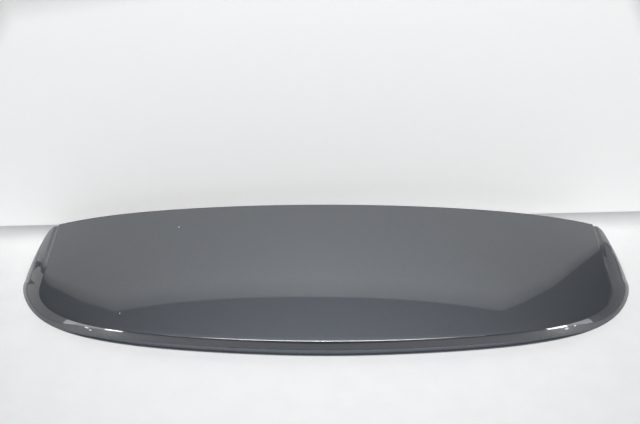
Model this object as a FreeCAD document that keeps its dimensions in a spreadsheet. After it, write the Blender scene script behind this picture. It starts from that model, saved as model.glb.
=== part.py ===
# Tailgate spoiler: a painted two-shell moulding with its studs, clips and seals.
# X runs across the car, Y from the rear lip (negative) to the front edge, Z up.
# The origin lies under the middle of the part, on the plane that its rim rests on.

import FreeCAD, Part
import math
import os

Vector = FreeCAD.Vector

doc = FreeCAD.newDocument("tailgate_spoiler")

# Driving dimensions in millimetres, unless the note says otherwise.
SIZES = [
    ("depth", 360.0, "rear lip to front edge"),
    ("lip_height", 28.6, "crease above the resting plane at the lip's middle"),
    ("front_height", 106.0, "front edge above the resting plane at the middle"),
    ("panel_arch", 0.22, "fore-aft rounding of the panel, a ratio"),
    ("crown_rear", 18.0, "drop of the panel from middle to crease, at the lip"),
    ("crown_front", 35.0, "the same drop at the front edge"),
    ("shoulder_rear", 18.0, "extra drop close to the crease, at the lip"),
    ("shoulder_front", 12.0, "extra drop close to the crease, at the front edge"),
    ("crease_half_width", 556.0, "middle to crease, at the sides"),
    ("crease_flare", 3.0, "widening of the crease towards the front edge"),
    ("crease_lead", 6.0, "crease ahead of the lip line, at the middle"),
    ("crease_centre", -2.0, "station where the crease turns straight"),
    ("crease_power", 2.12, "squareness of the crease outline, a power"),
    ("crease_corner", 0.2, "extra squareness at its corners, a power"),
    ("wing_half_width", 606.0, "middle to the widest point of a wing"),
    ("wing_centre", 57.0, "station where a wing starts to rise"),
    ("wing_power", 2.0, "squareness of the rim outline, a power"),
    ("wing_corner", 0.44, "extra squareness at its corners, a power"),
    ("wing_bulge", 0.55, "rounding of a wing's section, a ratio"),
    ("tip_height", 42.0, "wing's lower edge above the resting plane, at the tip"),
    ("tip_inset", 23.0, "tip inboard of the wing's widest point"),
    ("tip_round", 15.0, "radius of the wing tip in side view"),
    ("rise_round", 150.0, "radius where the wing's lower edge turns up"),
    ("skin", 3.0, "wall of the upper shell"),
    ("crease_break", 1.6, "bevel along the crease, on each side"),
    ("groove_width", 4.0, "groove beside the wing tip"),
    ("groove_depth", 1.6, "depth of that groove at the front edge"),
    ("groove_length", 110.0, "run of that groove from the front edge"),
    ("parting_height", 13.5, "lower edge of the lip fascia, at the middle"),
    ("parting_half_width", 500.0, "middle to where the rim strip ends"),
    ("parting_gap", 0.8, "joint line between the shells"),
    ("rim_undercut", 5.0, "rim strip's lower edge ahead of the lip line"),
    ("rim_wall", 3.0, "wall of the rim strip"),
    ("closing", 2.5, "wall of the lower shell"),
    ("bond_gap", 0.4, "adhesive gap between the shells"),
    ("floor_lift", 3.0, "lower shell's floor above the wing's lower edge"),
    ("seat_half_width", 430.0, "middle to the side of the tailgate recess"),
    ("seat_rear", 40.0, "rear wall of the recess behind the middle"),
    ("seat_height", 38.0, "seat above the resting plane"),
    ("seat_draft", 8.0, "draft of the recess walls, in degrees"),
    ("seat_corner", 30.0, "corner radius of the recess"),
    ("seat_round", 8.0, "radius along the roof of the recess"),
    ("front_wall", 26.0, "front wall of the lower shell behind the front edge"),
    ("rib_depth", 6.0, "stiffening ribs under the seat"),
    ("rib_wall", 2.0, "thickness of those ribs"),
    ("rib_x", 225.0, "fore-aft ribs from the middle"),
    ("rib_y", 65.0, "long rib ahead of the middle"),
    ("rib_length", 150.0, "run of the fore-aft ribs"),
    ("pad_height", 3.0, "raised pads at the studs"),
    ("pad_width", 26.0, "width of those square pads"),
    ("boss_height", 6.0, "bosses that hold the stud heads"),
    ("boss_width", 20.0, "width of those square bosses"),
    ("stud_radius", 3.0, "M6 thread of a stud"),
    ("stud_shoulder", 3.6, "plain shoulder of a stud through seat and seal, a radius"),
    ("stud_taper", 1.5, "run-out between shoulder and thread"),
    ("stud_length", 22.0, "stud below its pad"),
    ("stud_tip", 1.5, "chamfer at the stud's end"),
    ("stud_head", 10.0, "hexagon head inside the boss, across its flats"),
    ("stud_head_height", 4.0, "height of that head"),
    ("stud_inner_x", 160.0, "inner studs from the middle"),
    ("stud_outer_x", 385.0, "outer studs from the middle"),
    ("stud_y", 20.0, "stud row ahead of the middle"),
    ("fit_gap", 0.2, "play of a stud or clip in its hole, on each side"),
    ("seal_height", 5.0, "foam rings"),
    ("seal_radius", 12.0, "outer radius of the foam rings"),
    ("clip_neck", 7.0, "square neck of a push-in clip"),
    ("clip_head", 13.0, "square head above the seat"),
    ("clip_head_height", 2.0, "height of the head"),
    ("clip_flange", 16.0, "square flange below the seat"),
    ("clip_flange_height", 1.6, "height of the flange"),
    ("clip_blade", 3.0, "thickness of the clip's barbed blade"),
    ("clip_core", 2.0, "half width of the blade between its barbs"),
    ("clip_barb", 4.6, "half width of the blade at its barbs"),
    ("clip_barb_pitch", 4.5, "pitch of the barbs"),
    ("clip_inner_x", 85.0, "inner clips from the middle"),
    ("clip_outer_x", 285.0, "outer clips from the middle"),
    ("clip_y", 110.0, "clip row ahead of the middle"),
    ("pin_radius", 4.0, "moulded locating pins"),
    ("pin_length", 14.0, "pin below the seat"),
    ("pin_x", 325.0, "locating pins from the middle"),
    ("drain_radius", 3.0, "drain holes in the floor"),
    ("drain_x", 300.0, "drain holes from the middle"),
    ("drain_y", 95.0, "drain holes behind the middle"),
    ("strip_width", 12.0, "foam strip along the front edge"),
    ("strip_height", 6.0, "height of the foam strip"),
    ("strip_setback", 6.0, "foam strip behind the front edge"),
    ("strip_half_length", 500.0, "middle to the end of the foam strip"),
    ("strip_gap", 0.3, "adhesive film of the foam strip"),
    ("buffer_length", 36.0, "rubber buffer along the wing"),
    ("buffer_width", 16.0, "rubber buffer across the wing"),
    ("buffer_height", 4.5, "rubber buffer under the floor"),
    ("buffer_x", 515.0, "buffers from the middle"),
    ("buffer_y", 110.0, "buffers ahead of the middle"),
]

sheet = doc.addObject("Spreadsheet::Sheet", "sizes")
for row, (alias, value, note) in enumerate(SIZES, start=1):
    sheet.set(f"A{row}", note)
    sheet.set(f"B{row}", str(value))
    sheet.setAlias(f"B{row}", alias)
doc.recompute()


def size(alias):
    return float(sheet.get(alias))


# Room that a cutting tool reaches past what it cuts.
OVERRUN = 15.0
FRONT = size("depth") / 2


def section(rise):
    """Share of the way from rim to crease at a share of the band's height, rounded in between."""
    bulge = size("wing_bulge")
    if rise < 0:
        return (1 - bulge) * rise
    if rise > 1:
        return 1 + (1 + bulge) * (rise - 1)
    return (1 - bulge) * rise + bulge * rise * rise


# The fascia leans forward, so its lower edge is the rearmost line and the band's foot lies behind it.
REAR = -FRONT - size("crease_lead") * section(size("parting_height") / size("lip_height"))


def panel_height(x, y, drop=0.0):
    """Height of the crowned panel, lowered by drop."""
    lip = REAR + size("crease_lead")
    run = (y - lip) / (FRONT - lip)
    rise = (1 + size("panel_arch")) * run - size("panel_arch") * run * run
    middle = size("lip_height") + (size("front_height") - size("lip_height")) * rise
    crown = size("crown_rear") + (size("crown_front") - size("crown_rear")) * run
    shoulder = size("shoulder_rear") + (size("shoulder_front") - size("shoulder_rear")) * run
    across = abs(x) / size("crease_half_width")
    return middle - crown * across**2 - shoulder * across**6 - drop


SIDE = math.radians(90)
END = math.radians(140)


def outline(angle, half_width, reach, centre, power, corner):
    """Point of a U outline: a rounded rear from angle 0, then straight sides up to END."""
    turn = min(abs(angle), SIDE)
    squareness = power + corner * math.sin(2 * turn) ** 2
    radius = (math.sin(turn) ** squareness + math.cos(turn) ** squareness) ** (-1 / squareness)
    x = half_width * math.sin(turn) * radius
    y = centre - reach * math.cos(turn) * radius
    if abs(angle) > SIDE:
        y = centre + (abs(angle) - SIDE) / (END - SIDE) * (FRONT + OVERRUN - centre)
    return math.copysign(x, angle), y


def crease_point(angle, inset):
    """The crease between panel and band, moved inwards by inset."""
    centre = size("crease_centre")
    x, y = outline(
        angle,
        size("crease_half_width") - inset,
        centre - REAR - size("crease_lead") - inset,
        centre,
        size("crease_power"),
        size("crease_corner"),
    )
    flare = max(0.0, (y - centre) / (FRONT - centre)) * size("crease_flare")
    return x + math.copysign(flare, x), y


def rim_point(angle, inset):
    """The lower edge of lip and wings, moved inwards by inset, and its height."""
    centre = size("wing_centre")
    x, y = outline(
        angle,
        size("wing_half_width") - inset,
        centre - REAR - inset,
        centre,
        size("wing_power"),
        size("wing_corner"),
    )
    run = max(0.0, (y - centre) / (FRONT - centre))
    x -= math.copysign(size("tip_inset") * run**2, x)
    return x, y, size("tip_height") * run**1.2


def band_point(angle, z, inset):
    """The band's outside at height z: rim to crease, rounded, straight beyond both."""
    cx, cy = crease_point(angle, 0.0)
    rx, ry, rim_z = rim_point(angle, 0.0)
    crease_z = panel_height(cx, cy)
    across = section((z - rim_z) / (crease_z - rim_z))
    cx, cy = crease_point(angle, inset)
    rx, ry, rim_z = rim_point(angle, inset)
    return Vector(rx + (cx - rx) * across, ry + (cy - ry) * across, z)


STATIONS = 22
LEVELS = [-15, -5, 5, 14, 24, 34, 44, 54, 64, 80, 100]


def tub(name, inset, drop, undercut=0.0):
    """Solid inside the band: a loft through level outlines, each closed across the front."""
    top = size("front_height") + OVERRUN
    angles = [END * i / STATIONS for i in range(-STATIONS, STATIONS + 1)]
    sections = []
    for level in LEVELS + [top]:
        lean = undercut * max(0.0, 1 - max(level, 0) / size("parting_height"))
        points = [band_point(a, level + drop, inset + lean) - Vector(0, 0, drop) for a in angles]
        rear = Part.BSplineCurve()
        rear.interpolate(points)
        sections.append(Part.Wire([rear.toShape(), Part.makeLine(points[-1], points[0])]))
    feature = doc.addObject("Part::Feature", name)
    feature.Shape = Part.makeLoft(sections, True)
    return feature


def under_panel(name, drop):
    """Solid below the crowned panel, lowered by drop."""
    reach_x = size("wing_half_width") + 2 * OVERRUN
    reach_y = FRONT + 2 * OVERRUN
    xs = [reach_x * i / 8 for i in range(-8, 9)]
    ys = [reach_y * i / 2 for i in range(-2, 3)]
    crown = Part.BSplineSurface()
    crown.interpolate([[Vector(x, y, panel_height(x, y, drop)) for x in xs] for y in ys])
    feature = doc.addObject("Part::Feature", name)
    feature.Shape = crown.toShape().extrude(Vector(0, 0, -2 * size("front_height")))
    return feature


def side_block(name, lift, front, tip_round):
    """Everything above the side-view line of the wings' lower edge, raised by lift."""
    slope = size("tip_height") / (FRONT - size("wing_centre"))
    tangent = size("rise_round") * math.tan(math.atan(slope) / 2)
    kink = size("wing_centre")
    lean = math.atan(slope)
    rear = REAR - OVERRUN
    top = size("front_height") + 2 * OVERRUN
    width = size("wing_half_width") + OVERRUN

    def at(y, z):
        return Vector(-width, y, z)

    bend_start = at(kink - tangent, lift)
    bend_end = at(kink + tangent * math.cos(lean), lift + tangent * math.sin(lean))
    middle = lean / 2
    radius = size("rise_round")
    bend_middle = at(kink - tangent + radius * math.sin(middle), lift + radius * (1 - math.cos(middle)))
    corner = at(front, lift + slope * (front - kink))
    edges = [
        Part.makeLine(at(rear, top), at(rear, lift)),
        Part.makeLine(at(rear, lift), bend_start),
        Part.Arc(bend_start, bend_middle, bend_end).toShape(),
    ]
    if tip_round > 0:
        setback = tip_round * math.tan((math.radians(90) - lean) / 2)
        start = corner - Vector(0, math.cos(lean), math.sin(lean)) * setback
        end = corner + Vector(0, 0, setback)
        centre = end - Vector(0, tip_round, 0)
        aim = (start - centre) + (end - centre)
        via = centre + aim * (tip_round / aim.Length)
        edges.append(Part.makeLine(bend_end, start))
        edges.append(Part.Arc(start, via, end).toShape())
        edges.append(Part.makeLine(end, at(front, top)))
    else:
        edges.append(Part.makeLine(bend_end, corner))
        edges.append(Part.makeLine(corner, at(front, top)))
    edges.append(Part.makeLine(at(front, top), at(rear, top)))
    feature = doc.addObject("Part::Feature", name)
    feature.Shape = Part.Face(Part.Wire(edges)).extrude(Vector(2 * width, 0, 0))
    return feature


def parting_block(name, drop):
    """Everything below the shallow arch where the lip fascia meets the rim strip."""
    half = size("parting_half_width")
    rear = REAR - OVERRUN
    points = []
    for i in range(-8, 9):
        x = 1.04 * half * i / 8
        points.append(Vector(x, rear, size("parting_height") * (1 - (x / half) ** 4) - drop))
    arch = Part.BSplineCurve()
    arch.interpolate(points)
    low = Vector(0, 0, -2 * OVERRUN)
    edges = [
        arch.toShape(),
        Part.makeLine(points[-1], points[-1] + low),
        Part.makeLine(points[-1] + low, points[0] + low),
        Part.makeLine(points[0] + low, points[0]),
    ]
    feature = doc.addObject("Part::Feature", name)
    feature.Shape = Part.Face(Part.Wire(edges)).extrude(Vector(0, size("depth") / 2, 0))
    return feature


def tip_groove(name, side):
    """V tool along the crease beside a wing tip, shallower towards the rear."""
    sections = []
    for i in range(5):
        y = FRONT + OVERRUN - (size("groove_length") + OVERRUN) * i / 4
        run = (y - size("crease_centre")) / (FRONT - size("crease_centre"))
        x = size("crease_half_width") + size("crease_flare") * run
        share = min(1.0, 1.02 - (FRONT - y) / size("groove_length"))
        z = panel_height(x, y)
        half = size("groove_width") / 2 * share
        ridge = [(-half, half), (half, half), (0, -size("groove_depth") * share)]
        corners = [Vector(side * (x + dx), y, z + dz) for dx, dz in ridge]
        sections.append(Part.makePolygon(corners + corners[:1]))
    feature = doc.addObject("Part::Feature", name)
    feature.Shape = Part.makeLoft(sections, True)
    return feature


def recess(name, grow):
    """Space under the seat for the tailgate, with drafted walls; grown by a wall, its roof edge is bevelled."""
    front = FRONT + OVERRUN
    top = size("seat_height") + grow
    low = -OVERRUN
    sections = []
    for z in (low, top):
        spread = (size("seat_height") - z) * math.tan(math.radians(size("seat_draft"))) + grow
        half = size("seat_half_width") + spread
        rear = -size("seat_rear") - spread
        turn = size("seat_corner") + spread
        diagonal = turn * (1 - math.sqrt(0.5))
        points = [
            Vector(half, front, z),
            Vector(half, rear + turn, z),
            Vector(half - diagonal, rear + diagonal, z),
            Vector(half - turn, rear, z),
        ]
        left = [Vector(-p.x, p.y, p.z) for p in reversed(points)]
        edges = [
            Part.makeLine(points[0], points[1]),
            Part.Arc(points[1], points[2], points[3]).toShape(),
            Part.makeLine(points[3], left[0]),
            Part.Arc(left[0], left[1], left[2]).toShape(),
            Part.makeLine(left[2], left[3]),
            Part.makeLine(left[3], points[0]),
        ]
        sections.append(Part.Wire(edges))
    block = Part.makeLoft(sections, True, True)
    roof = [e for e in block.Edges if min(v.Z for v in e.Vertexes) > top - 0.01 and e.CenterOfMass.y < front - 1]
    feature = doc.addObject("Part::Feature", name)
    if grow > 0:
        feature.Shape = block.makeChamfer(0.75 * size("seat_round"), roof)
    else:
        feature.Shape = block.makeFillet(size("seat_round"), roof)
    return feature


def bar(name, length, width, height, x="0", y="0", z="0"):
    """Upright box centred on x and y."""
    return bind(
        doc.addObject("Part::Box", name),
        Length=length,
        Width=width,
        Height=height,
        at_x=f"{x} - ({length}) / 2",
        at_y=f"{y} - ({width}) / 2",
        at_z=z,
    )


def rib(name, length, width, x, y):
    """Rib hanging under the seat."""
    height = "sizes.rib_depth + sizes.closing / 2"
    return bar(name, length, width, height, x, y, "sizes.seat_height - sizes.rib_depth")


def hexagon(name, across, height, x="0", y="0", z="0"):
    """Hexagonal prism, sized across its flats."""
    prism = bind(doc.addObject("Part::Prism", name), Height=height, at_x=x, at_y=y, at_z=z)
    return bind(prism, Circumradius=f"({across}) / sqrt(3)")


def common(name, *parts):
    result = doc.addObject("Part::MultiCommon", name)
    result.Shapes = list(parts)
    return result


def fuse(name, *parts):
    result = doc.addObject("Part::MultiFuse", name)
    result.Shapes = list(parts)
    return result


def cut(name, base, tool):
    result = doc.addObject("Part::Cut", name)
    result.Base = base
    result.Tool = tool
    return result


def bind(feature, **formulas):
    """Ties properties of a feature to the sheet; at_x, at_y and at_z place it."""
    for key, formula in formulas.items():
        path = "Placement.Base." + key[-1] if key.startswith("at_") else key
        feature.setExpression(path, formula)
    return feature


def cylinder(name, radius, height, x="0", y="0", z="0"):
    return bind(doc.addObject("Part::Cylinder", name), Radius=radius, Height=height, at_x=x, at_y=y, at_z=z)


def cone(name, lower, upper, height, z):
    return bind(doc.addObject("Part::Cone", name), Radius1=lower, Radius2=upper, Height=height, at_z=z)


def copies(label, master, places):
    """One sub-part of separate solids: the master at each place."""
    links = []
    for x, y in places:
        link = doc.addObject("App::Link", label + "_at")
        link.LinkedObject = master
        bind(link, at_x=x, at_y=y)
        links.append(link)
    group = doc.addObject("Part::Compound", label)
    group.Links = links
    return group


def mirrored(places):
    """Each place and its mirror image across the car's middle."""
    return [(sign + x, y) for x, y in places for sign in ("", "-1 * ")]


# Upper shell: the panel and the band meet at the crease, and the inside is the same
# form moved in by the wall.
outer_form = common(
    "outer_form",
    tub("band_outer", 0.0, 0.0),
    under_panel("panel_outer", 0.0),
    side_block("side_outer", 0.0, FRONT, size("tip_round")),
)
doc.recompute()


def is_crease(edge):
    """True for an edge that runs on the panel and isn't its front edge."""
    marks = [edge.valueAt(edge.FirstParameter + f * (edge.LastParameter - edge.FirstParameter)) for f in (0.3, 0.5, 0.7)]
    on_panel = all(abs(p.z - panel_height(p.x, p.y)) < 0.2 for p in marks)
    return on_panel and any(p.y < FRONT - 1 for p in marks)


crease = doc.addObject("Part::Chamfer", "crease_bevelled")
crease.Base = outer_form
leg = size("crease_break")
crease.Edges = [(i, leg, leg) for i, e in enumerate(outer_form.Shape.Edges, start=1) if is_crease(e)]

inner_form = common(
    "inner_form",
    tub("band_inner", size("skin"), size("skin")),
    under_panel("panel_inner", size("skin")),
)
hollow = cut("hollow_form", crease, inner_form)
fascia = cut("fascia_form", hollow, parting_block("fascia_edge", 0.0))
upper_shell = cut("upper_shell", fascia, fuse("grooves", tip_groove("groove_right", 1), tip_groove("groove_left", -1)))

# Lower shell: a floor that follows the wings' lower edge, a recess for the tailgate,
# a front wall up to the panel, and the rim strip that shows under the lip.
bond = size("skin") + size("bond_gap")
rim_tub = tub("band_rim", 0.0, 0.0, size("rim_undercut"))
front_face = FRONT - size("front_wall")
cavity = common(
    "cavity",
    tub("band_bond", bond, bond, size("rim_undercut") / 2),
    under_panel("panel_bond", bond),
    side_block("side_floor", size("floor_lift"), front_face, 0.0),
)
void = cut(
    "void",
    side_block("side_void", size("floor_lift") + size("closing"), front_face - size("closing"), 0.0),
    recess("recess_roof", size("closing")),
)
closing = cut("closing_form", cut("cavity_open", cavity, recess("recess_space", 0.0)), void)
rim = cut(
    "rim_strip",
    common("rim_form", rim_tub, parting_block("strip_edge", size("parting_gap")), doc.side_outer),
    tub("band_rim_inner", size("rim_wall"), 0.0, size("rim_undercut")),
)

SEAT = "sizes.seat_height"
ROOF = "sizes.seat_height + sizes.closing"
MID_SEAT = "sizes.seat_height + sizes.closing / 2"
PAD = "sizes.seat_height - sizes.pad_height"
STUDS = mirrored([("sizes.stud_inner_x", "sizes.stud_y"), ("sizes.stud_outer_x", "sizes.stud_y")])
CLIPS = mirrored([("sizes.clip_inner_x", "sizes.clip_y"), ("sizes.clip_outer_x", "sizes.clip_y")])
PINS = mirrored([("sizes.pin_x", "sizes.stud_y")])
DRAINS = mirrored([("sizes.drain_x", "-1 * sizes.drain_y")])

added = []
for x, y in STUDS:
    added.append(
        bar("pad", "sizes.pad_width", "sizes.pad_width", "sizes.pad_height + sizes.closing / 2", x, y, PAD)
    )
for x, y in STUDS:
    added.append(
        bar("boss", "sizes.boss_width", "sizes.boss_width", "sizes.boss_height + sizes.closing / 2", x, y, MID_SEAT)
    )
for x, y in PINS:
    added.append(
        cylinder("pin", "sizes.pin_radius", "sizes.pin_length + sizes.closing / 2", x, y, SEAT + " - sizes.pin_length")
    )

removed = []
for x, y in STUDS:
    removed.append(
        cylinder("stud_hole", "sizes.stud_shoulder + sizes.fit_gap", "2 * sizes.seat_height", x, y)
    )
    removed.append(
        hexagon("stud_pocket", "sizes.stud_head + 2 * sizes.fit_gap", "2 * sizes.boss_height", x, y, ROOF)
    )
CLIP_HOLE = "sizes.clip_neck + 2 * sizes.fit_gap"
for x, y in CLIPS:
    removed.append(bar("clip_hole", CLIP_HOLE, CLIP_HOLE, "2 * sizes.seat_height", x, y))
for x, y in DRAINS:
    removed.append(
        cylinder("drain", "sizes.drain_radius", "2 * (sizes.floor_lift + sizes.closing)", x, y)
    )
ribs = [
    rib("rib_across", "2 * (sizes.seat_half_width - sizes.seat_corner)", "sizes.rib_wall", "0", "sizes.rib_y"),
    rib("rib_middle", "sizes.rib_wall", "sizes.rib_length", "0", "sizes.rib_y"),
    rib("rib_right", "sizes.rib_wall", "sizes.rib_length", "sizes.rib_x", "sizes.rib_y"),
    rib("rib_left", "sizes.rib_wall", "sizes.rib_length", "-1 * sizes.rib_x", "sizes.rib_y"),
]
moulding = fuse("moulding", closing, rim, *added, *ribs)
lower_shell = cut("lower_shell", moulding, fuse("holes", *removed))

# Studs: a hexagon head held in the boss, a shoulder through seat and seal, a thread and a chamfered end.
STUD_END = PAD + " - sizes.stud_length"
SEAL = PAD + " - sizes.seal_height"
stud = fuse(
    "stud",
    hexagon("stud_head", "sizes.stud_head", "sizes.stud_head_height", z=ROOF),
    cylinder(
        "stud_shank",
        "sizes.stud_shoulder",
        "sizes.closing + sizes.pad_height + sizes.seal_height + sizes.stud_head_height / 2",
        z=SEAL,
    ),
    cone("stud_run_out", "sizes.stud_radius", "sizes.stud_shoulder", "sizes.stud_taper", SEAL + " - sizes.stud_taper"),
    cylinder(
        "stud_thread",
        "sizes.stud_radius",
        "sizes.stud_length - sizes.seal_height - sizes.stud_taper - sizes.stud_tip",
        z=STUD_END + " + sizes.stud_tip",
    ),
    cone("stud_end", "sizes.stud_radius - sizes.stud_tip / 2", "sizes.stud_radius", "sizes.stud_tip", STUD_END),
)
studs = copies("mounting_studs", stud, STUDS)

stud_seal = cut(
    "stud_seal",
    cylinder("stud_seal_outer", "sizes.seal_radius", "sizes.seal_height", z=SEAL),
    cylinder("stud_seal_inner", "sizes.stud_shoulder + sizes.fit_gap", "sizes.seal_height", z=SEAL),
)
stud_seals = copies("stud_seals", stud_seal, STUDS)

# Clips: a square head above the seat, a neck through it, a flange below and a barbed blade.
FLANGE = SEAT + " - sizes.clip_flange_height"
flange_low = size("seat_height") - size("clip_flange_height")
right_side = [(size("clip_core"), flange_low)]
for i in range(3):
    barb_top = flange_low - size("clip_barb_pitch") * (i + 0.7)
    right_side.append((size("clip_core"), barb_top))
    right_side.append((size("clip_barb"), barb_top))
    right_side.append((size("clip_core"), barb_top - 0.8 * size("clip_barb_pitch")))
half_blade = size("clip_blade") / 2
tree = [Vector(x, -half_blade, z) for x, z in right_side]
tree += [Vector(-x, -half_blade, z) for x, z in reversed(right_side)]
blade = doc.addObject("Part::Feature", "clip_barbs")
blade.Shape = Part.Face(Part.makePolygon(tree + tree[:1])).extrude(Vector(0, 2 * half_blade, 0))
clip = fuse(
    "clip",
    bar("clip_top", "sizes.clip_head", "sizes.clip_head", "sizes.clip_head_height", z=ROOF),
    bar("clip_shaft", "sizes.clip_neck", "sizes.clip_neck", "sizes.closing + sizes.clip_head_height / 2", z=SEAT),
    bar("clip_plate", "sizes.clip_flange", "sizes.clip_flange", "sizes.clip_flange_height", z=FLANGE),
    blade,
)
clips = copies("retaining_clips", clip, CLIPS)

CLIP_SEAL = FLANGE + " - sizes.seal_height"
clip_seal = cut(
    "clip_seal",
    cylinder("clip_seal_outer", "sizes.seal_radius", "sizes.seal_height", z=CLIP_SEAL),
    cylinder("clip_seal_inner", "sizes.clip_barb + 2 * sizes.fit_gap", "sizes.seal_height", z=CLIP_SEAL),
)
clip_seals = copies("clip_seals", clip_seal, CLIPS)

# Foam strip: a bar that follows the panel's underside along its front edge.
strip_front = FRONT - size("strip_setback")
strip_rear = strip_front - size("strip_width")
strip_drop = size("skin") + size("strip_gap")
strip_sections = []
for i in range(-8, 9):
    x = size("strip_half_length") * i / 8
    upper = [Vector(x, y, panel_height(x, y, strip_drop)) for y in (strip_rear, strip_front)]
    lower = [p - Vector(0, 0, size("strip_height")) for p in reversed(upper)]
    strip_sections.append(Part.makePolygon(upper + lower + upper[:1]))
front_seal = doc.addObject("Part::Feature", "front_seal")
front_seal.Shape = Part.makeLoft(strip_sections, True)

# Buffers: rubber pads stuck to the floor under each wing, with rounded ends.
buffer_layer = cut(
    "buffer_layer",
    side_block("buffer_lower", size("floor_lift") - size("buffer_height"), FRONT, 0.0),
    doc.side_floor,
)
buffers = []
for side in ("", "-1 * "):
    outline_pad = bind(
        doc.addObject("Part::Box", "buffer_box"),
        Length="sizes.buffer_width",
        Width="sizes.buffer_length",
        Height="sizes.front_height",
        at_x=side + "sizes.buffer_x - sizes.buffer_width / 2",
        at_y="sizes.buffer_y - sizes.buffer_length / 2",
    )
    buffers.append(common("buffer", buffer_layer, outline_pad))
wing_buffers = doc.addObject("Part::Compound", "wing_buffers")
wing_buffers.Links = buffers

doc.recompute()

failed = [item.Label for item in doc.Objects if "Invalid" in item.State or "Error" in item.State]
if failed:
    raise RuntimeError("failed to build: " + ", ".join(failed))

sub_parts = [upper_shell, lower_shell, studs, stud_seals, clips, clip_seals, front_seal, wing_buffers]
for part in sub_parts:
    if part.Shape.isNull() or not part.Shape.isValid():
        raise RuntimeError(part.Label + " is not a valid shape")

os.makedirs("parts", exist_ok=True)
for part in sub_parts:
    part.Shape.exportStep(f"parts/{part.Label}.step")
    box = part.Shape.BoundBox
    print(f"{part.Label}: {len(part.Shape.Solids)} solids, {part.Shape.Volume / 1000:.1f} cm3, "
          f"{box.XLength:.1f} x {box.YLength:.1f} x {box.ZLength:.1f} mm, from z {box.ZMin:.2f}")
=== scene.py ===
# %% [markdown]
# # A painted tailgate spoiler
# The real part is a wide, shallow moulding that sits along the top of a car's tailgate. Two plastic
# shells are bonded together, painted dark metallic grey and clear coated, and held from below by
# studs and push-in clips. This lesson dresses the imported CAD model: it loads the frame, makes the
# painted skin again as one smooth mesh, gives every node its finish, and lights the scene.

# %% Load the frame
import math

import bmesh
import bpy
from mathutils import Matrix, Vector


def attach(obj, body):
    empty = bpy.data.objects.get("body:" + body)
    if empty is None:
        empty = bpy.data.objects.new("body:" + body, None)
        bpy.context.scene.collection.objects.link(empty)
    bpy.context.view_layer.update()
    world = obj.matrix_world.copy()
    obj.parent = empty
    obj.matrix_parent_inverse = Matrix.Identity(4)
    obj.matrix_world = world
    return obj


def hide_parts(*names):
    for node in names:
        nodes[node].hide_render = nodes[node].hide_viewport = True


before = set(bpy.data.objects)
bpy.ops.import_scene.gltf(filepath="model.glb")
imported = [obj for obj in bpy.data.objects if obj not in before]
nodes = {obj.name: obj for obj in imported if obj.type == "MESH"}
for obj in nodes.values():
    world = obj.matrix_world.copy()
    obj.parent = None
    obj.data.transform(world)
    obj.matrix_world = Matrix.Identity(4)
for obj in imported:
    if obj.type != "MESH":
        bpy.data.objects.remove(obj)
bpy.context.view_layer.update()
print("nodes:", ", ".join(sorted(nodes)))

# %% [markdown]
# ## Formulas as node trees
# A body panel follows a rule: an outline, a crown and a rounded edge. Geometry Nodes can follow the
# same rule on every point of a grid, but a long formula drawn node by node is hard to read. So a
# small class lets a formula be written in plain arithmetic, and each sign adds one math node.

# %% A number that a tree works out at every point
class Field:
    """A value in a node tree. Plus, minus, times, divided by and power add math nodes."""

    tree = None

    def __init__(self, socket):
        self.socket = socket


def math_node(operation, *values):
    node = Field.tree.nodes.new("ShaderNodeMath")
    node.operation = operation
    for socket, value in zip(node.inputs, values):
        if isinstance(value, Field):
            Field.tree.links.new(value.socket, socket)
        else:
            socket.default_value = value
    return Field(node.outputs[0])


def both_ways(operation):
    def forward(self, other):
        return math_node(operation, self, other)

    def backward(self, other):
        return math_node(operation, other, self)

    return forward, backward


SIGNS = {"add": "ADD", "sub": "SUBTRACT", "mul": "MULTIPLY", "truediv": "DIVIDE", "pow": "POWER"}
for sign, operation in SIGNS.items():
    forward, backward = both_ways(operation)
    setattr(Field, f"__{sign}__", forward)
    setattr(Field, f"__r{sign}__", backward)


def limit(value, low, high):
    return math_node("MINIMUM", math_node("MAXIMUM", value, low), high)


def larger(a, b):
    return math_node("MAXIMUM", a, b)


def choose(test, yes, no):
    return no + test * (yes - no)


print("arithmetic:", ", ".join(SIGNS))


# %% Start a tree with named sizes
def new_tree(name, sizes):
    """A node tree with one named input for each size, and the inputs as fields."""
    tree = bpy.data.node_groups.new(name, "GeometryNodeTree")
    tree.interface.new_socket("Geometry", in_out="OUTPUT", socket_type="NodeSocketGeometry")
    for key in sizes:
        tree.interface.new_socket(key, in_out="INPUT", socket_type="NodeSocketFloat")
    entry = tree.nodes.new("NodeGroupInput")
    Field.tree = tree
    return tree, {key: Field(entry.outputs[key]) for key in sizes}


def add_node(kind, **links):
    """A geometry node; each keyword names an input, with spaces as underscores."""
    node = Field.tree.nodes.new(kind)
    for key, value in links.items():
        socket = node.inputs[key.replace("_", " ")]
        if isinstance(value, Field):
            Field.tree.links.new(value.socket, socket)
        else:
            socket.default_value = value
    return node


def own_position():
    """The x, y and z of every point before it is moved."""
    place = Field(add_node("GeometryNodeInputPosition").outputs[0])
    parts = add_node("ShaderNodeSeparateXYZ", Vector=place)
    return [Field(parts.outputs[axis]) for axis in "XYZ"]


def join_vector(x, y, z):
    return Field(add_node("ShaderNodeCombineXYZ", X=x, Y=y, Z=z).outputs[0])


print("made: new_tree, add_node, own_position, join_vector")


# %% Turn a tree's result into a plain mesh
def end_tree(geometry, material):
    """Every tree ends in real geometry with its material set."""
    real = add_node("GeometryNodeRealizeInstances", Geometry=geometry)
    coated = add_node("GeometryNodeSetMaterial", Geometry=Field(real.outputs[0]), Material=material)
    leave = Field.tree.nodes.new("NodeGroupOutput")
    Field.tree.links.new(coated.outputs[0], leave.inputs[0])


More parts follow.
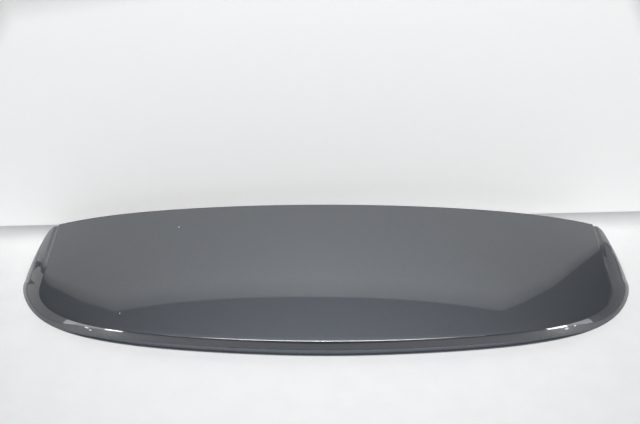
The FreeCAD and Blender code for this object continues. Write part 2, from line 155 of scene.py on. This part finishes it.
def bake_tree(tree, sizes, name):
    """A plain mesh object from the tree, with the sizes set on the modifier first."""
    piece = bpy.data.objects.new(name, bpy.data.meshes.new(name))
    bpy.context.scene.collection.objects.link(piece)
    modifier = piece.modifiers.new("tree", "NODES")
    modifier.node_group = tree
    for item in tree.interface.items_tree:
        if item.in_out == "INPUT":
            modifier[item.identifier] = sizes[item.name]
    evaluated = piece.evaluated_get(bpy.context.evaluated_depsgraph_get())
    mesh = bpy.data.meshes.new_from_object(evaluated)
    piece.modifiers.remove(modifier)
    piece.data = mesh
    print(f"{name}: {len(tree.nodes)} nodes made {len(mesh.polygons)} faces")
    return piece


print("made: end_tree, bake_tree")

# %% [markdown]
# ## Metallic paint
# The finish is a dark grey base with fine aluminium flakes under a clear coat. The flakes are cells
# of a Voronoi texture, each a little lighter or darker than the next. The coat is a second,
# smooth layer of the shader with a faint orange peel, and it carries the crisp reflections of the
# room. A few chips and scuffs are ellipsoids with a ragged edge, placed in the object's own metres.

# %% Helpers for materials
def new_material(name):
    material = bpy.data.materials.new(name)
    material.use_nodes = True
    return material, material.node_tree, material.node_tree.nodes["Principled BSDF"]


def shader_node(tree, kind, settings=None, **inputs):
    node = tree.nodes.new(kind)
    for key, value in (settings or {}).items():
        setattr(node, key, value)
    for key, value in inputs.items():
        socket = node.inputs[key.replace("_", " ")]
        if isinstance(value, bpy.types.NodeSocket):
            tree.links.new(value, socket)
        else:
            socket.default_value = value
    return node


def object_place(tree):
    return tree.nodes.new("ShaderNodeTexCoord").outputs["Object"]


def colour_ramp(tree, factor, *stops):
    """Colours between two stops, each a position and a linear grey or RGB value."""
    ramp = shader_node(tree, "ShaderNodeValToRGB", Fac=factor)
    for element, (position, colour) in zip(ramp.color_ramp.elements, stops):
        element.position = position
        rgb = colour if isinstance(colour, tuple) else (colour, colour, colour)
        element.color = (*rgb, 1.0)
    return ramp.outputs["Color"]


print("made: new_material, shader_node, object_place, colour_ramp")


# %% Sums, distances and shares inside a material
def shader_math(tree, operation, *values):
    node = tree.nodes.new("ShaderNodeMath")
    node.operation = operation
    for socket, value in zip(node.inputs, values):
        if isinstance(value, bpy.types.NodeSocket):
            tree.links.new(value, socket)
        else:
            socket.default_value = value
    return node.outputs[0]


def vector_math(tree, operation, vector, other=(0.0, 0.0, 0.0)):
    node = shader_node(tree, "ShaderNodeVectorMath", {"operation": operation}, Vector=vector)
    node.inputs[1].default_value = other
    return node.outputs


def share_between(tree, value, low, high):
    """Zero at low, one at high and a straight line between them."""
    ramp = shader_node(tree, "ShaderNodeMapRange", Value=value, From_Min=low, From_Max=high)
    return ramp.outputs["Result"]


print("made: shader_math, vector_math, share_between")


# %% Noise, relief and mixed colours
def noise_texture(tree, place, size, detail):
    """A noise whose lumps are about as large as the size, in metres."""
    noise = shader_node(tree, "ShaderNodeTexNoise", Vector=place, Scale=1 / size, Detail=detail)
    return noise.outputs["Fac"]


def bumpy(tree, height, strength, distance, socket):
    """A relief on one of the shader's normals."""
    relief = shader_node(tree, "ShaderNodeBump", Strength=strength, Distance=distance,
                         Height=height)
    tree.links.new(relief.outputs["Normal"], socket)


def mix_colours(tree, share, first, second):
    """The first colour where the share is zero, the second where it is one."""
    mix = shader_node(tree, "ShaderNodeMix", {"data_type": "RGBA"}, Factor=share)
    colour_inputs = [i for i in mix.inputs if i.type == "RGBA"]
    for socket, colour in zip(colour_inputs, (first, second)):
        if isinstance(colour, tuple):
            socket.default_value = (*colour, 1.0)
        else:
            tree.links.new(colour, socket)
    return next(o for o in mix.outputs if o.type == "RGBA")


print("made: noise_texture, bumpy, mix_colours")

# %% Small marks of use
MARK_EDGE = (1.5, 1.1)
MARK_GRAIN = 1 / 900


def marks(tree, place, spots):
    """One where a chip or scuff lies, zero elsewhere. Each spot is a centre and three radii."""
    wobble = noise_texture(tree, place, MARK_GRAIN, 2.0)
    total = None
    for centre, radii in spots:
        offset = vector_math(tree, "SUBTRACT", place, centre)["Vector"]
        scaled = vector_math(tree, "DIVIDE", offset, radii)["Vector"]
        far = vector_math(tree, "LENGTH", scaled)["Value"]
        ragged = shader_math(tree, "ADD", far, wobble)
        spot = share_between(tree, ragged, *MARK_EDGE)
        total = spot if total is None else shader_math(tree, "MAXIMUM", total, spot)
    return total


print("edge of a mark, as shares of its radii:", MARK_EDGE)

# %% The paint
PAINT = (0.052, 0.059, 0.069)
FLAKE_SIZE = 0.0004
FLAKE_TONES = (0.82, 1.22)
PEEL_SIZE = 0.004
PEEL_HEIGHT = 0.000015
PEEL_STRENGTH = 0.25
CHIP = (0.62, 0.62, 0.61)
# painted shade: the near-black colour laid in the groove at the wing tips
GROOVE_SHADE = (0.004, 0.004, 0.004)
WEAR = [
    ((-0.298, 0.123, 0.086), (0.0014, 0.0018, 0.004)),
    ((-0.382, -0.101, 0.035), (0.0014, 0.0014, 0.004)),
    ((-0.440, -0.1235, 0.020), (0.0060, 0.004, 0.0016)),
    ((-0.433, -0.1270, 0.017), (0.0030, 0.004, 0.0012)),
    ((0.441, -0.1240, 0.018), (0.0050, 0.004, 0.0014)),
    ((0.458, -0.1170, 0.019), (0.0030, 0.004, 0.0012)),
]


def flaked(tree, place, tones):
    """Paint whose flakes lie between two multiples of its colour."""
    flakes = shader_node(tree, "ShaderNodeTexVoronoi", Vector=place, Scale=1 / FLAKE_SIZE)
    sparkle = shader_node(tree, "ShaderNodeSeparateColor", Color=flakes.outputs["Color"])
    dark, light = [tuple(v * tone for v in PAINT) for tone in tones]
    return colour_ramp(tree, sparkle.outputs["Red"], (0.0, dark), (1.0, light))


def painted(name):
    material, tree, shader = new_material(name)
    place = object_place(tree)
    worn = mix_colours(tree, marks(tree, place, WEAR), flaked(tree, place, FLAKE_TONES), CHIP)
    # The groove attribute darkens the base colour where the groove runs: painted shade in the groove.
    groove = shader_node(tree, "ShaderNodeAttribute", {"attribute_name": "groove"})
    groove_shaded = mix_colours(tree, groove.outputs["Fac"], worn, GROOVE_SHADE)
    tree.links.new(groove_shaded, shader.inputs["Base Color"])
    peel = noise_texture(tree, place, PEEL_SIZE, 1.0)
    bumpy(tree, peel, PEEL_STRENGTH, PEEL_HEIGHT, shader.inputs["Coat Normal"])
    shader.inputs["Metallic"].default_value = 0.65
    shader.inputs["Roughness"].default_value = 0.5
    shader.inputs["Coat Weight"].default_value = 1.0
    shader.inputs["Coat Roughness"].default_value = 0.03
    shader.inputs["Coat IOR"].default_value = 1.75
    return material


paint = painted("metallic_paint")
print("paint:", PAINT, "flakes of", FLAKE_SIZE * 1000, "mm,", len(WEAR), "marks")

# %% [markdown]
# ## The painted skin
# The imported node is right in shape, but its flat triangles would break up a reflection. The skin is
# made again from the same rule: a U-shaped outline for the crease and one for the lower edge, a
# rounded section between them, and a crowned panel inside the crease. One grid is wrapped round the
# whole wall: up the inside, round the lower edge, up the outside and back over the front edge. At
# the wing tips the crease turns into a groove. The tree stores where it runs as an attribute, and
# the paint reads it to darken the groove with painted shade.

# %% Sizes of the skin, in metres
SKIN = {
    "front": 0.180,
    "lip height": 0.0286,
    "front height": 0.106,
    "panel arch": 0.22,
    "crown rear": 0.018,
    "crown front": 0.035,
    "shoulder rear": 0.018,
    "shoulder front": 0.012,
    "crease half width": 0.556,
    "crease flare": 0.003,
    "crease lead": 0.006,
    "crease centre": -0.002,
    "crease power": 2.12,
    "crease corner": 0.2,
    "wing half width": 0.606,
    "wing centre": 0.057,
    "wing power": 2.0,
    "wing corner": 0.44,
    "wing bulge": 0.55,
    "tip height": 0.042,
    "tip inset": 0.023,
    "tip round": 0.015,
    "rise round": 0.150,
    "wall": 0.003,
    "band round": 0.0050,
    "panel round": 0.0010,
    "groove depth": 0.0022,
    "groove length": 0.150,
    "parting height": 0.0135,
    "parting half width": 0.500,
}
STATIONS = 401
BAND_ROWS = 26
CREASE_ROWS = 8
PANEL_ROWS = 44
REAR_SHARE = 0.78
SIDE_EASE = 1.6
RIM_EASE = 1.2
SHORTEST_SPAN = 0.00001
SKIN_MERGE = 0.00002
SIDE_ROWS = BAND_ROWS + CREASE_ROWS + PANEL_ROWS + 1
skin_tree, size = new_tree("painted_skin", SKIN)
print("grid:", STATIONS, "stations by", 2 * SIDE_ROWS + 1, "rows")

# %% Where a grid point lies on the wall
grid = add_node("GeometryNodeMeshGrid", Size_X=2.0, Size_Y=2.0 * SIDE_ROWS,
                Vertices_X=STATIONS, Vertices_Y=2 * SIDE_ROWS + 1)
across, from_middle, _ = own_position()
row = from_middle + float(SIDE_ROWS)
side = math_node("SIGN", across)
reach = math_node("ABSOLUTE", across)
inner_rows = math_node("LESS_THAN", row, SIDE_ROWS - 0.5)
inside = larger(inner_rows, math_node("GREATER_THAN", row, 2 * SIDE_ROWS - 0.5))
step = math_node("ABSOLUTE", row - (SIDE_ROWS - 0.5)) - 0.5
band_share = limit(step / BAND_ROWS, 0.0, 1.0)
crease_share = limit((step - BAND_ROWS) / CREASE_ROWS, 0.0, 1.0)
panel_share = limit((step - (BAND_ROWS + CREASE_ROWS)) / PANEL_ROWS, 0.0, 1.0)
turn = limit(reach / REAR_SHARE, 0.0, 1.0) * (math.pi / 2)
side_share = limit((reach - REAR_SHARE) / (1 - REAR_SHARE), 0.0, 1.0)
straight = 1.0 - (1.0 - side_share) ** SIDE_EASE
inset = inside * size["wall"]
print("rows on each side of the wall:", SIDE_ROWS)

# %% The panel, the crease and the lower edge as formulas
bulge = size["wing bulge"]


def rounded(rise):
    return (1.0 - bulge) * rise + bulge * rise * rise


parting_share = rounded(size["parting height"] / size["lip height"])
rear = 0.0 - size["front"] - size["crease lead"] * parting_share
lip = rear + size["crease lead"]


def panel_height(x, y):
    run = (y - lip) / (size["front"] - lip)
    rise = (1.0 + size["panel arch"]) * run - size["panel arch"] * run * run
    middle = size["lip height"] + (size["front height"] - size["lip height"]) * rise
    crown = size["crown rear"] + (size["crown front"] - size["crown rear"]) * run
    shoulder = size["shoulder rear"] + (size["shoulder front"] - size["shoulder rear"]) * run
    spread = x / size["crease half width"]
    square = spread * spread
    return middle - crown * square - shoulder * square * square * square


sine = math_node("SINE", turn)
cosine = larger(math_node("COSINE", turn), 0.0)
double = math_node("SINE", turn * 2.0)


def unit_outline(power, corner):
    """A rounded corner between rear and side, as shares of half width and depth."""
    squareness = power + corner * double * double
    radius = (sine**squareness + cosine**squareness) ** (-1.0 / squareness)
    return sine * radius, cosine * radius


def crease_at(moved_in):
    wide, deep = unit_outline(size["crease power"], size["crease corner"])
    centre = size["crease centre"]
    x = (size["crease half width"] - moved_in) * wide + size["crease flare"] * straight
    y = centre - (centre - lip - moved_in) * deep + straight * (size["front"] - centre)
    return x, y


def rim_at(moved_in):
    wide, deep = unit_outline(size["wing power"], size["wing corner"])
    centre = size["wing centre"]
    x = (size["wing half width"] - moved_in) * wide - size["tip inset"] * straight * straight
    y = centre - (centre - rear - moved_in) * deep + straight * (size["front"] - centre)
    return x, y


crease_x, crease_y = crease_at(inset)
rim_x, rim_y = rim_at(inset)
outer_crease_x, outer_crease_y = crease_at(0.0)
outer_rim_x, outer_rim_y = rim_at(0.0)
outer_crease_z = panel_height(outer_crease_x, outer_crease_y)
rim_z = size["tip height"] * straight**RIM_EASE
print("formula nodes so far:", len(skin_tree.nodes))

# %% The height of the lower edge: flat, rising to the tip, rounded at the tip, arched at the lip
slope = size["tip height"] / (size["front"] - size["wing centre"])
lean = math_node("ARCTANGENT", slope)
bend = size["rise round"] * math_node("TANGENT", lean / 2.0)
bend_start = size["wing centre"] - bend
bend_run = size["rise round"] * math_node("SINE", lean)
along = limit(outer_rim_y - bend_start, 0.0, bend_run)
rise_square = size["rise round"] * size["rise round"]
arc = size["rise round"] - math_node("SQRT", rise_square - along * along)
ramp = slope * larger(outer_rim_y - bend_start - bend_run, 0.0)
tip_centre_y = size["front"] - size["tip round"]
tip_setback = size["tip round"] * math_node("TANGENT", (math.pi / 2 - lean) / 2.0)
tip_centre_z = size["tip height"] + tip_setback
ahead = limit(outer_rim_y - tip_centre_y, 0.0, size["tip round"])
tip_square = size["tip round"] * size["tip round"]
tip_arc = tip_centre_z - math_node("SQRT", larger(tip_square - ahead * ahead, 0.0))
on_tip = math_node("GREATER_THAN", ahead, size["tip round"] * math_node("SINE", lean))
side_edge = choose(on_tip, tip_arc, arc + ramp)
arch_share = outer_rim_x / size["parting half width"]
arch = size["parting height"] * (1.0 - arch_share * arch_share * arch_share * arch_share)
edge_z = larger(side_edge, arch)
print("lower edge added, nodes:", len(skin_tree.nodes))

# %% Band, crease and panel put together
crease_z = panel_height(crease_x, crease_y) - inset
groove_run = limit(2.0 - 2.0 * (size["front"] - crease_y) / size["groove length"], 0.0, 1.0)
groove = groove_run * size["groove depth"] * (1.0 - inside)
band_top = crease_z - size["band round"]
band_z = edge_z + (band_top - edge_z) * band_share


def band_at(z):
    share = rounded((z + inset - rim_z) / (outer_crease_z - rim_z))
    return rim_x + (crease_x - rim_x) * share, rim_y + (crease_y - rim_y) * share


front_x = (size["crease half width"] + size["crease flare"] - inset) * reach
span_x = front_x - crease_x
span_y = size["front"] - crease_y
span = math_node("SQRT", span_x * span_x + span_y * span_y)
start = limit(size["panel round"] / larger(span, SHORTEST_SPAN), 0.0, 1.0)
panel_run = start + (1.0 - start) * panel_share
panel_x = crease_x + span_x * panel_run
panel_y = crease_y + span_y * panel_run
panel_z = panel_height(panel_x, panel_y) - inset
edge_x = crease_x + span_x * start
edge_y = crease_y + span_y * start
edge_top = panel_height(edge_x, edge_y) - inset
rest = 1.0 - crease_share


def piecewise(band, band_end, corner, panel_start, panel):
    """Band, then a curve that turns at the corner, then panel."""
    near_band = rest * rest * band_end + 2.0 * rest * crease_share * corner
    curve = near_band + crease_share * crease_share * panel_start
    return band + (curve - band_end) + (panel - panel_start)


band_x, band_y = band_at(band_z)
top_x, top_y = band_at(band_top)
point = join_vector(
    side * piecewise(band_x, top_x, crease_x, edge_x, panel_x),
    piecewise(band_y, top_y, crease_y, edge_y, panel_y),
    piecewise(band_z, band_top, crease_z - 2.0 * groove, edge_top, panel_z),
)
shaped = add_node("GeometryNodeSetPosition", Geometry=Field(grid.outputs["Mesh"]), Position=point)
# How deep in the groove a point lies, read by the paint to lay painted shade there.
groove_shade_share = groove_run * crease_share * rest * 4.0
named = add_node("GeometryNodeStoreNamedAttribute", Geometry=Field(shaped.outputs[0]),
                 Name="groove", Value=groove_shade_share)
merged = add_node("GeometryNodeMergeByDistance", Geometry=Field(named.outputs[0]),
                  Distance=SKIN_MERGE)
end_tree(Field(merged.outputs[0]), paint)
painted_skin = bake_tree(skin_tree, SKIN, "painted_skin")


# %% Close the two wing tips and shade the skin
SLIVER = 0.000005
TIP_MERGE = 0.00015


def finish_mesh(piece, sharp_degrees):
    """Fills open edges, turns faces outwards and keeps edges sharp past an angle."""
    shape = bmesh.new()
    shape.from_mesh(piece.data)
    bmesh.ops.dissolve_degenerate(shape, dist=SLIVER, edges=shape.edges)
    rim = [v for v in shape.verts if v.is_boundary]
    bmesh.ops.remove_doubles(shape, verts=rim, dist=TIP_MERGE)
    open_edges = [e for e in shape.edges if e.is_boundary]
    bmesh.ops.holes_fill(shape, edges=open_edges, sides=0)
    bmesh.ops.recalc_face_normals(shape, faces=shape.faces)
    left_open = sum(e.is_boundary for e in shape.edges)
    shape.to_mesh(piece.data)
    shape.free()
    piece.data.polygons.foreach_set("use_smooth", [True] * len(piece.data.polygons))
    piece.data.set_sharp_from_angle(angle=math.radians(sharp_degrees))
    print(f"{piece.name}: {len(open_edges)} open edges closed, {left_open} left")


finish_mesh(painted_skin, 40)
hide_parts("upper_shell")
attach(painted_skin, "root")

# %% [markdown]
# ## Finishes of the other nodes
# The lower shell is painted where it shows under the lip and left as bare black plastic where the
# tailgate covers it. Foam, rubber, nylon and plated steel differ only in colour, grain and gloss,
# so one function makes them all.

# %% Give a node its material
NOISE_LOW = 0.35
NOISE_HIGH = 0.65


def dress(name, material):
    node = nodes[name]
    node.data.materials.clear()
    node.data.materials.append(material)


def grainy(name, dark, light, grain, roughness, bump):
    """A plain material with a fine grain in colour and height."""
    material, tree, shader = new_material(name)
    noise = noise_texture(tree, object_place(tree), grain, 4.0)
    tone = colour_ramp(tree, noise, (NOISE_LOW, dark), (NOISE_HIGH, light))
    tree.links.new(tone, shader.inputs["Base Color"])
    bumpy(tree, noise, bump, grain, shader.inputs["Normal"])
    shader.inputs["Roughness"].default_value = roughness
    return material


foam = grainy("closed_cell_foam", 0.012, 0.030, 0.0009, 0.95, 0.5)
for seal in ("stud_seals", "clip_seals", "front_seal"):
    dress(seal, foam)
dress("wing_buffers", grainy("moulded_rubber", 0.010, 0.022, 0.0015, 0.75, 0.25))
nylon = grainy("natural_nylon", (0.60, 0.58, 0.52), (0.70, 0.68, 0.62), 0.004, 0.45, 0.05)
dress("retaining_clips", nylon)
plated = grainy("plated_steel", (0.50, 0.50, 0.47), (0.62, 0.61, 0.57), 0.0012, 0.35, 0.08)
plated.node_tree.nodes["Principled BSDF"].inputs["Metallic"].default_value = 1.0
print("plated steel is ready for the studs")


# %% Lower shell: paint on the rim, mist on the walls, bare plastic where the tailgate sits
# The rim's paint is three to four times lighter than the skin's: a painted reflection of the table.
RIM_REFLECTION_TONES = (3.0, 4.2)
FACES_DOWN = (-0.75, -0.35)
PAINT_TOP = (0.030, 0.020)
MIST_DEPTH = 0.016
MIST_SIZE = 1 / 60
PLASTIC_GRAIN = 0.0008
PLASTIC_RELIEF = 0.0002
PLASTIC_GREYS = (0.020, 0.034)
PLASTIC_GLOSS = 0.62
PAINT_GLOSS = 0.30


def half_painted(name):
    material, tree, shader = new_material(name)
    place = object_place(tree)
    normal = tree.nodes.new("ShaderNodeTexCoord").outputs["Normal"]
    spot = shader_node(tree, "ShaderNodeSeparateXYZ", Vector=place)
    facing = shader_node(tree, "ShaderNodeSeparateXYZ", Vector=normal)
    mist = noise_texture(tree, place, MIST_SIZE, 8.0)
    height = shader_math(tree, "MULTIPLY_ADD", mist, MIST_DEPTH, spot.outputs["Z"])
    outward = share_between(tree, facing.outputs["Z"], *FACES_DOWN)
    sprayed = shader_math(tree, "MULTIPLY", outward, share_between(tree, height, *PAINT_TOP))
    grain = noise_texture(tree, place, PLASTIC_GRAIN, 3.0)
    dark, light = PLASTIC_GREYS
    plastic = colour_ramp(tree, grain, (NOISE_LOW, dark), (NOISE_HIGH, light))
    # painted reflection: the sprayed rim takes the lightened paint, the rest stays bare plastic
    tone = mix_colours(tree, sprayed, plastic, flaked(tree, place, RIM_REFLECTION_TONES))
    tree.links.new(tone, shader.inputs["Base Color"])
    gloss = colour_ramp(tree, sprayed, (0.0, PLASTIC_GLOSS), (1.0, PAINT_GLOSS))
    tree.links.new(gloss, shader.inputs["Roughness"])
    bumpy(tree, grain, 0.2, PLASTIC_RELIEF, shader.inputs["Normal"])
    return material


dress("lower_shell", half_painted("half_painted_plastic"))
print("lower shell sprayed up to about", PAINT_TOP[1] * 1000, "mm")

# %% [markdown]
# ## Threaded studs
# The studs are plated steel, held by their heads in the lower shell. The solids leave the thread
# out, so it is made here: each stud is one grid rolled into a tube, and its radius follows the
# height. It has a chamfered end, a thread that climbs one pitch in each turn, a run-out, a plain
# shoulder and a hexagon head.

# %% Sizes of a stud, in metres
STUD = {
    "end": 0.013,
    "top": 0.0445,
    "radius": 0.003,
    "thread depth": 0.0005,
    "pitch": 0.001,
    "tip": 0.0015,
    "shoulder": 0.0036,
    "shoulder start": 0.030,
    "run out": 0.0015,
    "head": 0.010,
    "head start": 0.0405,
    "row": 0.020,
    "inner": 0.160,
    "outer": 0.385,
}
ROUND_POINTS = 49
UP_POINTS = 253
END_SHARE = 0.0005
STUD_MERGE = 0.000002
SPARE_TURNS = 8.0
FLANK_SLOPE = 1.3
FLANK_FLAT = 0.15
stud_tree, size = new_tree("threaded_stud", STUD)
tube = add_node("GeometryNodeMeshGrid", Size_X=1.0, Size_Y=1.0,
                Vertices_X=ROUND_POINTS, Vertices_Y=UP_POINTS)
tube_x, tube_y, _ = own_position()
round_share = tube_x + 0.5
up_share = tube_y + 0.5
height = size["end"] + (size["top"] - size["end"]) * up_share
angle = round_share * (2 * math.pi)
print("stud sizes:", len(STUD))

# %% Radius of the stud at every point, then four of them
thread_top = size["shoulder start"] - size["run out"]
wave = math_node("FRACT", height / size["pitch"] - round_share + SPARE_TURNS)
flank = limit(math_node("ABSOLUTE", wave * 2.0 - 1.0) * FLANK_SLOPE - FLANK_FLAT, 0.0, 1.0)
fade = limit((thread_top - height) / size["pitch"], 0.0, 1.0)
threaded = size["radius"] - size["thread depth"] * flank * fade
tip_share = limit((height - size["end"]) / size["tip"], 0.0, 1.0)
chamfer = size["radius"] - (size["tip"] / 2.0) * (1.0 - tip_share)
run = limit((height - thread_top) / size["run out"], 0.0, 1.0)
shank = math_node("MINIMUM", threaded, chamfer) + (size["shoulder"] - size["radius"]) * run
sixth = math_node("FRACT", round_share * 6.0) - 0.5
hexagon = size["head"] / 2.0 / math_node("COSINE", sixth * (math.pi / 3))
on_head = math_node("GREATER_THAN", height, size["head start"])
above_end = math_node("GREATER_THAN", up_share, END_SHARE)
not_ends = above_end * math_node("LESS_THAN", up_share, 1.0 - END_SHARE)
radius = choose(on_head, hexagon, shank) * not_ends
stud_x = radius * math_node("COSINE", angle)
stud_y = radius * math_node("SINE", angle)
rolled = add_node("GeometryNodeSetPosition", Geometry=Field(tube.outputs["Mesh"]),
                  Position=join_vector(stud_x, stud_y, height))
closed = add_node("GeometryNodeMergeByDistance", Geometry=Field(rolled.outputs[0]),
                  Distance=STUD_MERGE)
order = Field(add_node("GeometryNodeInputIndex").outputs[0])
side = math_node("GREATER_THAN", order, 1.5) * 2.0 - 1.0
outside = math_node("GREATER_THAN", math_node("FRACT", order / 2.0), 0.25)
places = add_node("GeometryNodeMeshLine", Count=4)
away = choose(outside, size["outer"], size["inner"])
put = add_node("GeometryNodeSetPosition", Geometry=Field(places.outputs[0]),
               Position=join_vector(side * away, size["row"], 0.0))
four = add_node("GeometryNodeInstanceOnPoints", Points=Field(put.outputs[0]),
                Instance=Field(closed.outputs[0]))
end_tree(Field(four.outputs[0]), plated)
studs = bake_tree(stud_tree, STUD, "threaded_studs")
finish_mesh(studs, 35)
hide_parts("mounting_studs")
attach(studs, "root")
print("dressed:", ", ".join(sorted(nodes)))

# %% [markdown]
# ## Table, backdrop and light
# The part lies on a white table in front of a white screen. Glossy paint shows its surroundings, so
# the screen's height and width matter: its top edge is the soft line across the panel. Seen from
# behind, the screen is clear, so that the part can be looked at from that side too. Two strips and
# two low cards beside the camera show only in reflections, as the flashes on the band.

# %% A sweep of white board
FOLD_Y = 0.252
FOLD_TURN = math.radians(2.6)
FOLD_ROUND = 0.03
TABLE_FRONT = -1.5
TABLE_HALF = 1.3
FOLD_HALF = 0.76
FOLD_STEPS = 8
SCREEN = [
    (0.73, 0.0), (0.712, 0.26), (0.669, 0.475), (0.592, 0.65), (0.54, 0.727), (-0.014, 0.676),
    (-0.618, 0.585), (-0.701, 0.44), (-0.754, 0.28), (-0.735, 0.10), (-0.725, 0.0),
]


def sheet_object(name, corners, faces, material):
    mesh = bpy.data.meshes.new(name)
    mesh.from_pydata(corners, [], faces)
    mesh.polygons.foreach_set("use_smooth", [True] * len(faces))
    mesh.materials.append(material)
    piece = bpy.data.objects.new(name, mesh)
    bpy.context.scene.collection.objects.link(piece)
    return piece


def turned(x, y, z):
    """A point of the sweep, turned a little about the upright axis."""
    c, n = math.cos(FOLD_TURN), math.sin(FOLD_TURN)
    return (x * c - y * n, x * n + y * c + FOLD_Y, z)


white = grainy("white_board", 0.80, 0.82, 0.05, 0.55, 0.0)
bends = [(i / FOLD_STEPS) * math.pi / 2 for i in range(FOLD_STEPS + 1)]
profile = [(TABLE_FRONT, 0.0)] + [
    (FOLD_ROUND * (math.sin(a) - 1), FOLD_ROUND * (1 - math.cos(a))) for a in bends]
halves = [TABLE_HALF] + [FOLD_HALF] * len(bends)
strip = [turned(way * half, y, z) for half, (y, z) in zip(halves, profile) for way in (-1, 1)]
strip_faces = [(2 * i, 2 * i + 1, 2 * i + 3, 2 * i + 2) for i in range(len(profile) - 1)]
sheet_object("table", strip, strip_faces, white)
print("table strip faces:", len(strip_faces))

# %% A screen that glows, fades at its edge and is clear from behind
SCREEN_GLOW = 0.45
EDGE_SHARE = 0.4
SOFT_WIDTH = 0.96
SOFT_HEIGHT = 0.82
backlit = grainy("backlit_screen", 0.80, 0.82, 0.05, 0.55, 0.0)
tree = backlit.node_tree
glow = tree.nodes["Principled BSDF"]
share = shader_node(tree, "ShaderNodeAttribute", {"attribute_name": "share"}).outputs["Fac"]
tree.links.new(colour_ramp(tree, share, (0.0, 0.10), (1.0, 0.81)), glow.inputs["Base Color"])
power = shader_math(tree, "MULTIPLY", share, SCREEN_GLOW)
tree.links.new(power, glow.inputs["Emission Strength"])
glow.inputs["Emission Color"].default_value = (1.0, 1.0, 1.0, 1.0)
behind = tree.nodes.new("ShaderNodeNewGeometry").outputs["Backfacing"]
clear = tree.nodes.new("ShaderNodeBsdfTransparent")
one_sided = shader_node(tree, "ShaderNodeMixShader", Fac=behind)
tree.links.new(glow.outputs["BSDF"], one_sided.inputs[1])
tree.links.new(clear.outputs["BSDF"], one_sided.inputs[2])
tree.links.new(one_sided.outputs[0], tree.nodes["Material Output"].inputs["Surface"])
count = len(SCREEN)
outer = [turned(x, 0.0, max(z, FOLD_ROUND)) for x, z in SCREEN]
inner = [turned(SOFT_WIDTH * x, 0.0, max(SOFT_HEIGHT * z, FOLD_ROUND)) for x, z in SCREEN]
ring = [(i, i + 1, count + i + 1, count + i) for i in range(count - 1)]
middle_face = tuple(range(count, 2 * count))
screen = sheet_object("screen", outer + inner, ring + [middle_face], backlit)
shares = screen.data.attributes.new("share", "FLOAT", "POINT")
edge_points = range(1, count - 1)
corner_shares = [EDGE_SHARE if i in edge_points else 1.0 for i in range(2 * count)]
shares.data.foreach_set("value", corner_shares)
print("screen corners:", count)


# %% Lights
ROOM = (0.12, 0.125, 0.135)


def area_light(name, place, target, width, height, glow, fills=True):
    """A soft box whose face has the given brightness, where a white wall is about one."""
    data = bpy.data.lights.new(name, "AREA")
    data.shape = "RECTANGLE"
    data.size = width
    data.size_y = height
    data.energy = math.pi * width * height * glow
    lamp = bpy.data.objects.new(name, data)
    lamp.location = place
    lamp.visible_diffuse = fills
    lamp.visible_camera = False
    lamp.rotation_euler = (Vector(target) - Vector(place)).to_track_quat("-Z", "Y").to_euler()
    bpy.context.scene.collection.objects.link(lamp)


area_light("overhead", (0, 0.0, 1.9), (0, 0.05, 0), 1.7, 0.3, 18.0)
area_light("spot", (0, -0.2, 1.9), (0, 0, 0), 0.12, 0.12, 140.0)
area_light("left_wall", (-1.55, 0.1, 0.24), (-0.5, 0.1, 0.24), 1.7, 0.48, 0.6)
area_light("right_wall", (1.55, 0.15, 0.5), (0.5, 0.15, 0.5), 1.9, 1.0, 0.28)
area_light("left_strip", (-1.33, -1.29, 0.2), (-0.37, -0.14, 0.2), 0.20, 0.4, 16.0, fills=False)
area_light("right_strip", (1.54, -1.13, 0.2), (0.43, -0.13, 0.2), 0.30, 0.4, 16.0, fills=False)
area_light("left_low", (-1.40, -0.85, 0.17), (-0.44, -0.12, 0.17), 0.75, 0.34, 2.6, fills=False)
area_light("right_low", (1.45, -0.72, 0.17), (0.46, -0.12, 0.17), 0.60, 0.34, 2.2, fills=False)
world = bpy.data.worlds.new("room")
world.use_nodes = True
world.node_tree.nodes["Background"].inputs["Color"].default_value = (*ROOM, 1.0)
bpy.context.scene.world = world
bpy.context.scene.view_settings.view_transform = "Standard"

# %% [markdown]
# ## Camera
# The photograph is 640 by 424 pixels. Its field of view, height and pitch come from fitting the
# outline, so the camera is set once from those values.

# %% Place the camera
FIELD = math.radians(38)
PITCH_DOWN = 30.31
SENSOR = 36.0
camera_data = bpy.data.cameras.new("camera")
camera_data.sensor_width = SENSOR
camera_data.lens = SENSOR / 2 / math.tan(FIELD / 2)
camera = bpy.data.objects.new("camera", camera_data)
camera.location = (-0.012, -1.4884, 1.0635)
camera.rotation_euler = (math.radians(90 - PITCH_DOWN), 0, 0)
bpy.context.scene.collection.objects.link(camera)
bpy.context.scene.camera = camera
print("lens in mm:", round(camera_data.lens, 2))
